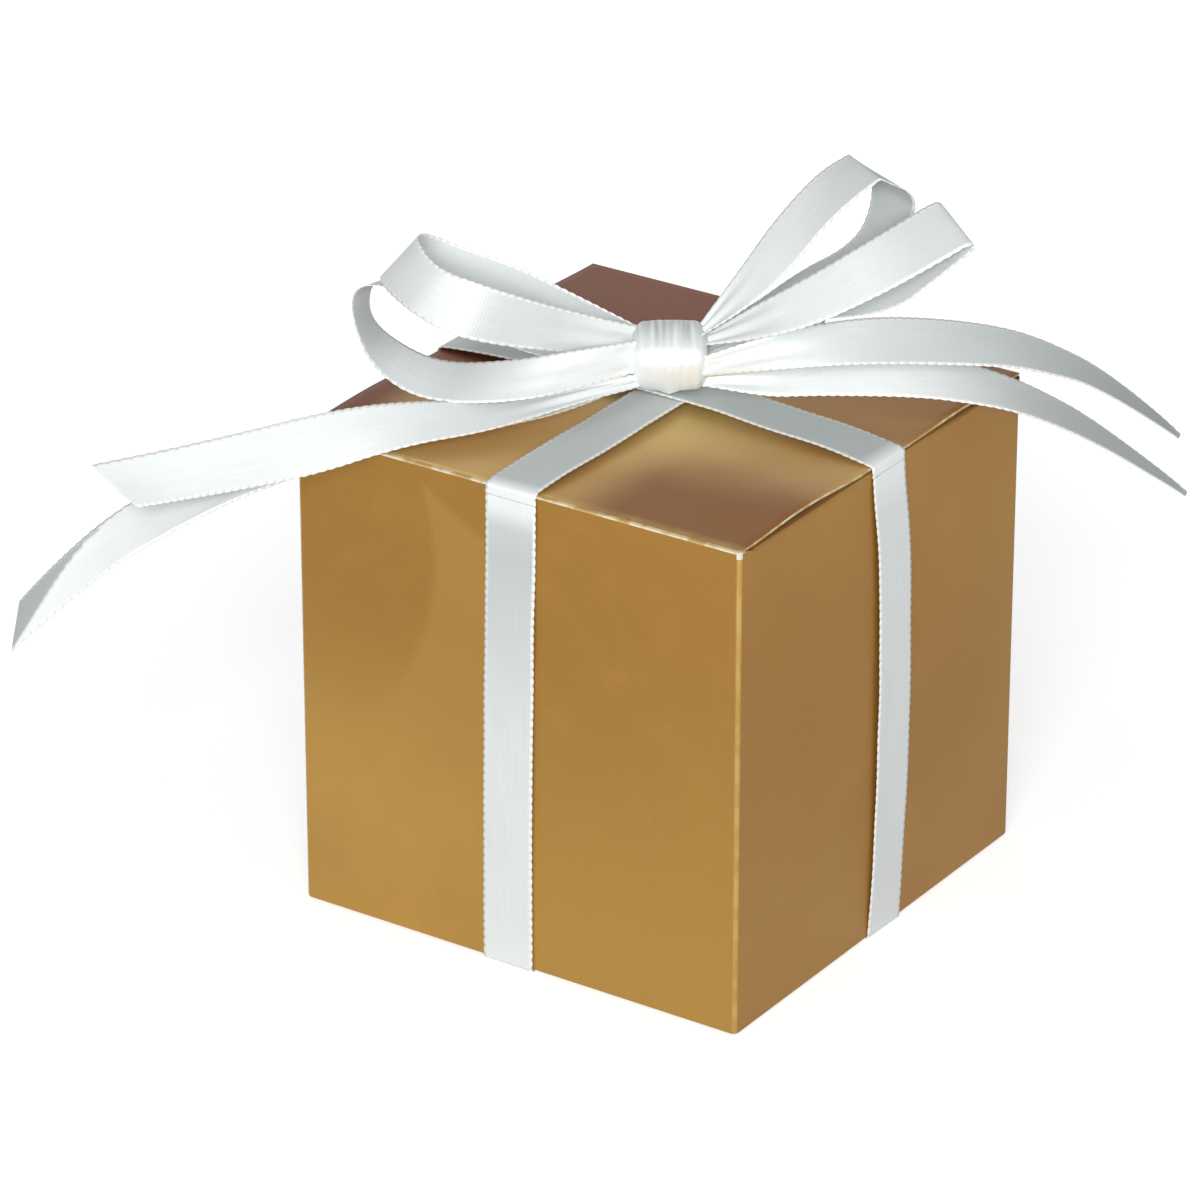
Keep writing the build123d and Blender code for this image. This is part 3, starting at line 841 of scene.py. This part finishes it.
# Painted shade along the arms, greyest where they lie under the bow, left off at their turned-down
# ends as a painted highlight
LONG_LEVELS = [(0.0, 0.05), (0.03, 0.05), (0.05, 0.46), (1.0, 0.46)]
CROSS_LEVELS = [
    (0.0, 0.0), (0.1, 0.6), (0.45, 0.65), (0.6, 0.55), (0.945, 0.55), (0.97, 0.0), (1.0, 0.0),
]
LONG_RISE = 0.65
LONG_BACK_HALF = [
    (ARM_NEAR, ARM + LONG_RISE, 0.2),
    (ARM_HALFWAY, ARM + 0.3, 0.1),
    (19.0, ARM + 0.1, 0.0),
    (25.2, ARM + 0.02, 0.0),
]
tape(
    "ribbon_lid_long_arm",
    arm_end(-1, 0.5, LONG_RISE, (-0.2, 0.3, 0.3)) + LONG_BACK_HALF,
    "y", "bow", ["ribbon_lid_long"], LONG_LEVELS,
)
tape(
    "ribbon_lid_cross_arm",
    arm_end(-1, 0.45, 0.95, (1.2, 1.5, 1.7)) + arm_end(1, 0.5, 0.95, (0.45, 1.1, 1.7))[::-1],
    "x", "bow", ["ribbon_lid_cross"], CROSS_LEVELS,
)


# The top of each side wall slopes down from the front corner to a thin lip outside the dust flap
SLOPE_START = 0.8
SLOPE_END = 2.5
LIP = 0.4
LIP_OUT = 0.03
BACK_CORNER_RISE = 0.2
WALL_CARD = 0.4
OUTER_ROUND = 0.55
INNER_ROUND = 0.15
CORNER_STEPS = 7
WEAR_AND_HIGHLIGHT_FROM = 0.25
WEAR_AND_HIGHLIGHT_SPAN = 0.35
PALE_CORNER_FROM = 0.2
SHARP_ANGLE = math.radians(40)

# The rounded bottom edge as (height, inset), how far below the brim the outside is cut, the lip's
# inner edge on the brim and at the wall's top as shares of its reach, and the cut inside
BOTTOM_EDGE = ((0.0, 0.22), (0.1, 0.05), (0.3, 0.0))
BRIM_CUTS = (0.7, 0.2, 0.0)
LIP_ON_BRIM, LIP_ON_TOP = 0.5, 0.3
WALL_CUT = SIDE_TOP - 1.0
INSIDE_CUT = 0.8


def square_ring(half, radius):
    """A rounded square, anticlockwise from the front right: x, y, wall, how far round a corner."""
    start_y, end_y = HALF_BOX - SLOPE_START, HALF_BOX - SLOPE_END
    ring = []
    for index, (sx, sy) in enumerate(((1, -1), (1, 1), (-1, 1), (-1, -1))):
        centre = Vector((sx * (half - radius), sy * (half - radius)))
        start = math.radians(-90 + 90 * index)
        for step in range(CORNER_STEPS + 1):
            angle = start + math.radians(90) * step / CORNER_STEPS
            x = centre.x + radius * math.cos(angle)
            y = centre.y + radius * math.sin(angle)
            wall = "front" if sy < 0 else "back corner"
            turn = 1.0 - abs(2.0 * step / CORNER_STEPS - 1.0)
            ring.append((x, y, wall, turn))
        if index == 0:
            ring.append((half, -start_y, "front", 0.0))
            ring.append((half, -end_y, "side", 0.0))
            ring.append((half, end_y, "side", 0.0))
            ring.append((half, start_y, "back corner", 0.0))
        if index == 1:
            ring.append((start_y, half, "back", 0.0))
            ring.append((-start_y, half, "back", 0.0))
        if index == 2:
            ring.append((-half, start_y, "back corner", 0.0))
            ring.append((-half, end_y, "side", 0.0))
            ring.append((-half, -end_y, "side", 0.0))
            ring.append((-half, -start_y, "front", 0.0))
    return ring


def carton_walls():
    """The carton's sleeve, with rounded upright folds, pale cut edges and a bare inside."""
    tops = {"front": LID_TOP, "side": SIDE_TOP, "back": BACK_TOP, "back corner": SIDE_TOP}
    brims = {**tops, "side": SIDE_TOP + LIP, "back corner": SIDE_TOP + LIP + BACK_CORNER_RISE}
    outer = square_ring(HALF_BOX, OUTER_ROUND)
    inner = square_ring(HALF_BOX - WALL_CARD, INNER_ROUND)
    count = len(outer)
    points, wear_and_highlight = [], []

    def level_ring(shape, height, inset=0.0):
        top_ring(shape, dict.fromkeys(tops, height), 0.0, inset)

    def top_ring(shape, heights, below, inset):
        shrink = 1 - inset / HALF_BOX
        for x, y, wall, turn in shape:
            points.append((x * shrink, y * shrink, heights[wall] - below))
            # Lighter round the upright folds: wear and a painted highlight
            wear_and_highlight.append(min(1.0, max(0.0, (turn - WEAR_AND_HIGHLIGHT_FROM) / WEAR_AND_HIGHLIGHT_SPAN)))

    # From the inner foot, round the bottom edge, up the outside, over the brim and down again
    level_ring(inner, FLOOR_Z)
    for height, inset in BOTTOM_EDGE:
        level_ring(outer, FLOOR_Z + height, inset)
    level_ring(outer, WALL_CUT)
    for below in BRIM_CUTS:
        top_ring(outer, brims, below, -LIP_OUT)
    top_ring(outer, brims, 0.0, -LIP_OUT * LIP_ON_BRIM)
    top_ring(outer, tops, 0.0, -LIP_OUT * LIP_ON_TOP)
    top_ring(inner, tops, 0.0, 0.0)
    level_ring(inner, FLOOR_Z + INSIDE_CUT)
    level_ring(inner, FLOOR_Z)
    gold, cut, inside = 0, 1, 2
    bands = [gold, gold, gold, gold, gold, "corner", cut, cut, cut, cut, inside, inside]
    faces, looks = [], []
    for level, look in enumerate(bands):
        for index in range(count):
            following = (index + 1) % count
            low, high = level * count, (level + 1) * count
            faces.append((low + index, low + following, high + following, high + index))
            ends = (outer[index], outer[following])
            along_front = all(wall == "front" for x, y, wall, turn in ends)
            at_corner = along_front and all(turn > PALE_CORNER_FROM for x, y, wall, turn in ends)
            if look == "corner":
                looks.append(inside if at_corner else gold)
            elif look == cut and at_corner:
                looks.append(inside)
            elif look == cut:
                looks.append(cut if along_front else gold)
            else:
                looks.append(look)
    made = piece("carton_sleeve", points, faces, [wall_look, edge_look, inside_look], looks)
    store(made, "wear_and_highlight", wear_and_highlight)
    made.data.set_sharp_from_angle(angle=SHARP_ANGLE)
    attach(made, "carton")
    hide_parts("front_panel", "right_panel", "back_panel", "left_panel")


carton_walls()

# The lid's sheet, from its back crease over the front fold to the end of the tuck flap
LID_HALF = 25.2
LID_BACK = 25.2
LID_FRONT = -24.45
CREASE_ROUND = 0.2
CREASE_STEPS = 4
LID_ROWS = 60
LID_COLUMNS = 60
FOLD_ROUND = 0.35
FOLD_STEPS = 8
FOLD_WEAR_AND_HIGHLIGHT = 0.55
TUCK_ROWS = 24
TUCK_HALF = 23.3
TUCK_LENGTH = 10.0
TUCK_CORNER = 4.0
TUCK_LEAN = math.radians(8.0)
CARD = 0.3

# How far the lid swells, and where: reach from the middle sideways, forwards and backwards
SWELL_ASIDE = (4.0, 44.0)
SWELL_NEAR = (3.0, 25.0)
SWELL_FAR = (4.0, 25.0)
NEAR_RIGHT_SWELL = 0.45
NEAR_LEFT_SWELL = 0.25
FAR_SWELL = 0.2


def window(value, low, high):
    """A soft hill between low and high, and 0 outside."""
    share = (value - low) / (high - low)
    return math.sin(math.pi * share) ** 2 if 0 < share < 1 else 0.0


def lid_and_tuck():
    """The lid from its back crease to the front fold, and the tuck flap, in one bent sheet."""
    line = []
    for step in range(CREASE_STEPS + 1):
        angle = math.radians(90 * step / CREASE_STEPS)
        y = LID_BACK + CREASE_ROUND * math.cos(angle)
        z = LID_TOP - CREASE_ROUND + CREASE_ROUND * math.sin(angle)
        line.append((y, z, LID_HALF, 0.0))
    for step in range(1, LID_ROWS):
        y = LID_BACK + (LID_FRONT - LID_BACK) * step / LID_ROWS
        line.append((y, LID_TOP, LID_HALF, 0.0))
    for step in range(FOLD_STEPS + 1):
        angle = math.radians(90) + (math.radians(90) + TUCK_LEAN) * step / FOLD_STEPS
        y = LID_FRONT + FOLD_ROUND * math.cos(angle)
        z = LID_TOP - FOLD_ROUND + FOLD_ROUND * math.sin(angle)
        half = LID_HALF + (TUCK_HALF - LID_HALF) * max(0.0, 2 * step / FOLD_STEPS - 1)
        line.append((y, z, half, 1.0))
    start_y, start_z = line[-1][0], line[-1][1]
    for step in range(1, TUCK_ROWS + 1):
        down = (TUCK_LENGTH - FOLD_ROUND) * step / TUCK_ROWS
        left = TUCK_LENGTH - FOLD_ROUND - down
        inset = 0.0
        if left < TUCK_CORNER:
            inset = TUCK_CORNER - math.sqrt(TUCK_CORNER**2 - (TUCK_CORNER - left) ** 2)
        y = start_y + down * math.sin(TUCK_LEAN)
        line.append((y, start_z - down * math.cos(TUCK_LEAN), TUCK_HALF - inset, 0.0))
    points, wear_and_highlight = [], []
    for y, z, half, fold in line:
        for column in range(LID_COLUMNS + 1):
            x = half * (2 * column / LID_COLUMNS - 1)
            swell = 0.0
            if z > LID_TOP - 0.01:
                right, left = window(x, *SWELL_ASIDE), window(-x, *SWELL_ASIDE)
                near, far = window(-y, *SWELL_NEAR), window(y, *SWELL_FAR)
                swell = right * near * NEAR_RIGHT_SWELL + left * near * NEAR_LEFT_SWELL
                swell += (left + right) * far * FAR_SWELL
            points.append((x, y, z + swell))
            # Wear and a painted highlight along the front fold
            wear_and_highlight.append(fold * FOLD_WEAR_AND_HIGHLIGHT)
    faces = grid_faces(len(line), LID_COLUMNS, flipped=True)
    made = piece("lid_and_tuck_flap", points, faces, [lid_look, inside_look, edge_look])
    store(made, "wear_and_highlight", wear_and_highlight)
    # The lid's tones are painted by these places, so that they stay on the card as it opens
    rest = made.data.attributes.new("rest", "FLOAT_VECTOR", "POINT")
    rest.data.foreach_set("vector", [value * MM for point in points for value in point])
    solid = thicken(made, CARD, -1.0)
    solid.material_offset = 1
    solid.material_offset_rim = 2
    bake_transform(made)
    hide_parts("lid_panel", "tuck_flap")


lid_and_tuck()

# The CAD's own flaps, which only take a material
FLAPS = {
    "glue_tab": inside_look,
    "bottom_front_flap": bottom_look,
    "bottom_back_flap": bottom_look,
    "bottom_left_flap": bottom_look,
    "bottom_right_flap": bottom_look,
    "left_dust_flap": dust_look,
    "right_dust_flap": dust_look,
}
for name, look in FLAPS.items():
    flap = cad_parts[name]
    flap.data.materials.clear()
    flap.data.materials.append(look)

# Floor, background and light, in metres
FLOOR_HALF = 3.0
floor_mesh = bpy.data.meshes.new("floor")
floor_corners = [(-1, -1), (1, -1), (1, 1), (-1, 1)]
floor_points = [(x * FLOOR_HALF, y * FLOOR_HALF, 0) for x, y in floor_corners]
floor_mesh.from_pydata(floor_points, [], [(0, 1, 2, 3)])
floor = bpy.data.objects.new("floor", floor_mesh)
bpy.context.scene.collection.objects.link(floor)


def backdrop_rays(tree):
    """1 for rays that show the backdrop, straight or reflected, 0 for those that carry light."""
    path = tree.nodes.new("ShaderNodeLightPath")
    share = path.outputs["Is Camera Ray"]
    for kind in ("Is Glossy Ray", "Is Transmission Ray"):
        larger = tree.nodes.new("ShaderNodeMath")
        larger.operation = "MAXIMUM"
        tree.links.new(share, larger.inputs[0])
        tree.links.new(path.outputs[kind], larger.inputs[1])
        share = larger.outputs[0]
    return share


# The paper under the box is a little darker than the rest
NEAR_GLOW = 0.62
FAR_GLOW = 0.3
paper = Graph("floor_paper")
spot = paper.node("ShaderNodeVectorMath", Vector=paper.place())
spot.operation = "LENGTH"
far = paper.step(spot.outputs["Value"], 0.04, 0.2)
strength = paper.math("ADD", NEAR_GLOW, paper.math("MULTIPLY", far, FAR_GLOW))
glow = paper.node("ShaderNodeEmission", Color=(1, 1, 1, 1), Strength=strength)
matte = paper.node("ShaderNodeBsdfDiffuse", Color=(0.7, 0.7, 0.7, 1))
both = paper.tree.nodes.new("ShaderNodeAddShader")
paper.tree.links.new(glow.outputs[0], both.inputs[0])
paper.tree.links.new(matte.outputs[0], both.inputs[1])
seen = paper.tree.nodes.new("ShaderNodeMixShader")
paper.tree.links.new(backdrop_rays(paper.tree), seen.inputs[0])
paper.tree.links.new(matte.outputs[0], seen.inputs[1])
paper.tree.links.new(both.outputs[0], seen.inputs[2])
paper_out = paper.tree.nodes.new("ShaderNodeOutputMaterial")
paper.tree.links.new(seen.outputs[0], paper_out.inputs["Surface"])
floor_mesh.materials.append(paper.material)

SKY_STRENGTH = 0.28
scene = bpy.context.scene
world = bpy.data.worlds.new("daylight")
scene.world = world
world.use_nodes = True
sky = world.node_tree
sky.nodes.clear()
sky_light = sky.nodes.new("ShaderNodeBackground")
sky_light.inputs["Color"].default_value = (0.95, 0.98, 1.0, 1)
sky_light.inputs["Strength"].default_value = SKY_STRENGTH
sky_seen = sky.nodes.new("ShaderNodeBackground")
sky_seen.inputs["Color"].default_value = (1, 1, 1, 1)
sky_seen.inputs["Strength"].default_value = 1.0
sky_mix = sky.nodes.new("ShaderNodeMixShader")
sky_out = sky.nodes.new("ShaderNodeOutputWorld")
sky.links.new(backdrop_rays(sky), sky_mix.inputs[0])
sky.links.new(sky_light.outputs[0], sky_mix.inputs[1])
sky.links.new(sky_seen.outputs[0], sky_mix.inputs[2])
sky.links.new(sky_mix.outputs[0], sky_out.inputs["Surface"])

KEY_PLACE = Vector((0.368, -0.638, 0.352))
KEY_AIM = Vector((0, 0, 0.04))
KEY_SIZE = 0.4
KEY_POWER = 5.0
lamp = bpy.data.lights.new("key", "AREA")
lamp.shape = "DISK"
lamp.size = KEY_SIZE
lamp.energy = KEY_POWER
key = bpy.data.objects.new("key", lamp)
scene.collection.objects.link(key)
key.location = KEY_PLACE
key.rotation_euler = (KEY_AIM - KEY_PLACE).to_track_quat("-Z", "Y").to_euler()

# Camera, as the photograph was taken
CAMERA_DISTANCE = 0.6278
FOCAL_LENGTH = 191.24
SENSOR_WIDTH = 36.0
target = Vector((-0.00503, -0.00338, 0.02968))
lens = bpy.data.cameras.new("camera")
lens.sensor_width = SENSOR_WIDTH
lens.lens = FOCAL_LENGTH
lens.clip_start = 0.01
camera = bpy.data.objects.new("camera", lens)
scene.collection.objects.link(camera)
camera.location = target + sight * CAMERA_DISTANCE
camera.rotation_euler = (-sight).to_track_quat("-Z", "Y").to_euler()
scene.camera = camera
scene.view_settings.view_transform = "Standard"
